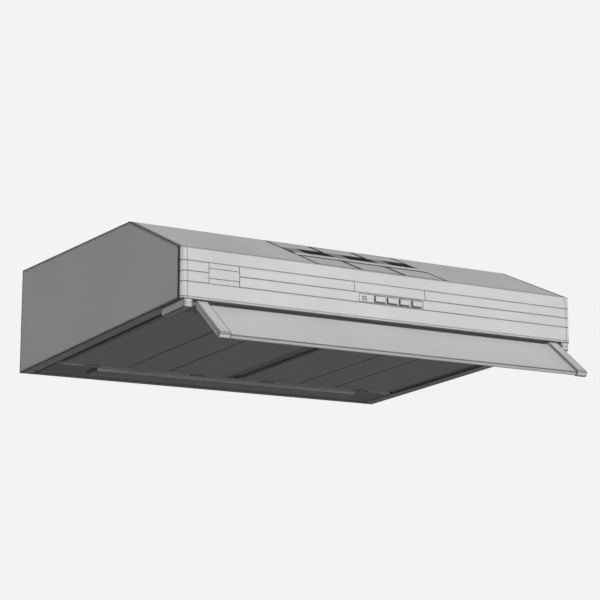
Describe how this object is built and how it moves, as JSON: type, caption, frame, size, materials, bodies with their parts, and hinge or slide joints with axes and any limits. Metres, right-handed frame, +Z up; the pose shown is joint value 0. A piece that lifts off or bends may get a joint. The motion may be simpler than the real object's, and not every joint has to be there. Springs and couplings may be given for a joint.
{
  "type": "under cabinet range hood",
  "caption": "Slim under-cabinet range hood with a sloped vented front, push-button fascia, fold-out visor, grease filters and a top duct outlet.",
  "frame": {"origin": "on the flat top, on the axis of the duct outlet, in the middle of the four cabinet screws", "axes": "+X along the hood's width, -Y out of the fascia towards the cook, +Z up"},
  "size_m": [0.6, 0.545, 0.2072],
  "materials": {
    "painted_steel": "satin grey stove enamel on steel sheet",
    "side_steel": "satin grey stove enamel on steel sheet",
    "fascia_steel": "light grey satin enamel",
    "zinc_steel": "zinc-plated steel sheet",
    "screw_steel": "zinc-plated",
    "filter_aluminium": "anodised folded frame",
    "mesh_aluminium": "layered expanded mesh",
    "grey_plastic": "light grey moulded, fine texture",
    "dark_plastic": "black moulded",
    "button_plastic": "light grey moulded",
    "visor_plastic": "light grey, satin",
    "lens_plastic": "frosted",
    "cover_plastic": "frosted translucent diffuser",
    "lamp_glass": "frosted",
    "brass_cap": "nickel-brass screw cap",
    "fan_plastic": "dark grey moulded",
    "motor_steel": "plain steel can",
    "wire_rubber": "black insulation"
  },
  "bodies": {
    "casing": {"casing_shell": "painted_steel", "side_panel_left": "side_steel", "side_panel_right": "side_steel", "vent_grille_left": "painted_steel", "vent_grille_centre": "painted_steel", "vent_grille_right": "painted_steel", "front_fascia": "fascia_steel", "badge_plate": "fascia_steel", "legend_plate": "fascia_steel", "button_bezel": "grey_plastic", "indicator_lens": "lens_plastic", "switch_block": "dark_plastic", "front_rail": "zinc_steel", "centre_divider": "zinc_steel", "divider_clip": "zinc_steel", "rear_panel": "zinc_steel", "panel_screws": "screw_steel", "lamp_housing": "zinc_steel", "lamp_holders": "dark_plastic", "lamp_caps": "brass_cap", "lamp_bulb_left": "lamp_glass", "lamp_bulb_right": "lamp_glass", "fan_scroll_upper": "fan_plastic", "fan_scroll_lower": "fan_plastic", "inlet_guard": "zinc_steel", "motor_bracket": "zinc_steel", "fan_screws": "screw_steel", "motor": "motor_steel", "capacitor": "dark_plastic", "duct_spigot": "dark_plastic", "spigot_screws": "screw_steel", "flap_pin": "screw_steel", "terminal_box": "dark_plastic", "terminal_cover": "dark_plastic", "terminal_block": "dark_plastic", "cable_gland": "dark_plastic", "wiring_loom": "wire_rubber", "hinge_block_left": "grey_plastic", "hinge_block_right": "grey_plastic", "hinge_block_screws": "screw_steel"},
    "visor": {"visor_arm_left": "visor_plastic", "visor_arm_right": "visor_plastic", "visor_panel": "visor_plastic", "visor_lip": "visor_plastic", "visor_pins": "screw_steel"},
    "fan_wheel": {"impeller": "fan_plastic", "motor_shaft": "screw_steel"},
    "flap_left": {"backdraft_flap_left": "dark_plastic"},
    "flap_right": {"backdraft_flap_right": "dark_plastic"},
    "filter_left": {"filter_frame_left": "filter_aluminium", "filter_mesh_left": "mesh_aluminium"},
    "filter_right": {"filter_frame_right": "filter_aluminium", "filter_mesh_right": "mesh_aluminium"},
    "latch_left": {"filter_latch_left": "dark_plastic"},
    "latch_right": {"filter_latch_right": "dark_plastic"},
    "lamp_lid": {"lamp_cover": "cover_plastic"},
    "button_1": {"push_button_1": "button_plastic"},
    "button_2": {"push_button_2": "button_plastic"},
    "button_3": {"push_button_3": "button_plastic"},
    "button_4": {"push_button_4": "button_plastic"}
  },
  "joints": [
    {"name": "visor_swing", "type": "hinge", "parent": "casing", "child": "visor", "pos_m": [0, -0.3125, -0.12931], "axis": [1, 0, 0], "range_deg": [0, 138.5]},
    {"name": "fan_spin", "type": "hinge", "parent": "casing", "child": "fan_wheel", "pos_m": [-0.15, 0.029, -0.05], "axis": [0, 0, 1], "continuous": true},
    {"name": "flap_left_swing", "type": "hinge", "parent": "casing", "child": "flap_left", "pos_m": [0, 0, 0.008], "axis": [0, 1, 0], "range_deg": [0, 66]},
    {"name": "flap_right_swing", "type": "hinge", "parent": "casing", "child": "flap_right", "pos_m": [0, 0, 0.008], "axis": [0, -1, 0], "range_deg": [0, 66]},
    {"name": "filter_left_swing", "type": "hinge", "parent": "casing", "child": "filter_left", "pos_m": [-0.1415, 0.08792, -0.14118], "axis": [1, 0, 0], "range_deg": [0, 65]},
    {"name": "filter_right_swing", "type": "hinge", "parent": "casing", "child": "filter_right", "pos_m": [0.1415, 0.08792, -0.14118], "axis": [1, 0, 0], "range_deg": [0, 65]},
    {"name": "latch_left_slide", "type": "slide", "parent": "filter_left", "child": "latch_left", "axis": [0, 0.9987, -0.0513], "range_m": [0, 0.005], "stiffness_N_per_m": 300, "springref_m": -0.003},
    {"name": "latch_right_slide", "type": "slide", "parent": "filter_right", "child": "latch_right", "axis": [0, 0.9987, -0.0513], "range_m": [0, 0.005], "stiffness_N_per_m": 300, "springref_m": -0.003},
    {"name": "lamp_lid_swing", "type": "hinge", "parent": "casing", "child": "lamp_lid", "pos_m": [0, 0.12746, -0.14721], "axis": [1, 0, 0], "range_deg": [0, 70]},
    {"name": "button_1_press", "type": "slide", "parent": "casing", "child": "button_1", "axis": [0, 1, 0], "range_m": [0, 0.0025], "stiffness_N_per_m": 250, "springref_m": -0.002},
    {"name": "button_2_press", "type": "slide", "parent": "casing", "child": "button_2", "axis": [0, 1, 0], "range_m": [0, 0.0025], "stiffness_N_per_m": 250, "springref_m": -0.002},
    {"name": "button_3_press", "type": "slide", "parent": "casing", "child": "button_3", "axis": [0, 1, 0], "range_m": [0, 0.0025], "stiffness_N_per_m": 250, "springref_m": -0.002},
    {"name": "button_4_press", "type": "slide", "parent": "casing", "child": "button_4", "axis": [0, 1, 0], "range_m": [0, 0.0025], "stiffness_N_per_m": 250, "springref_m": -0.002}
  ]
}
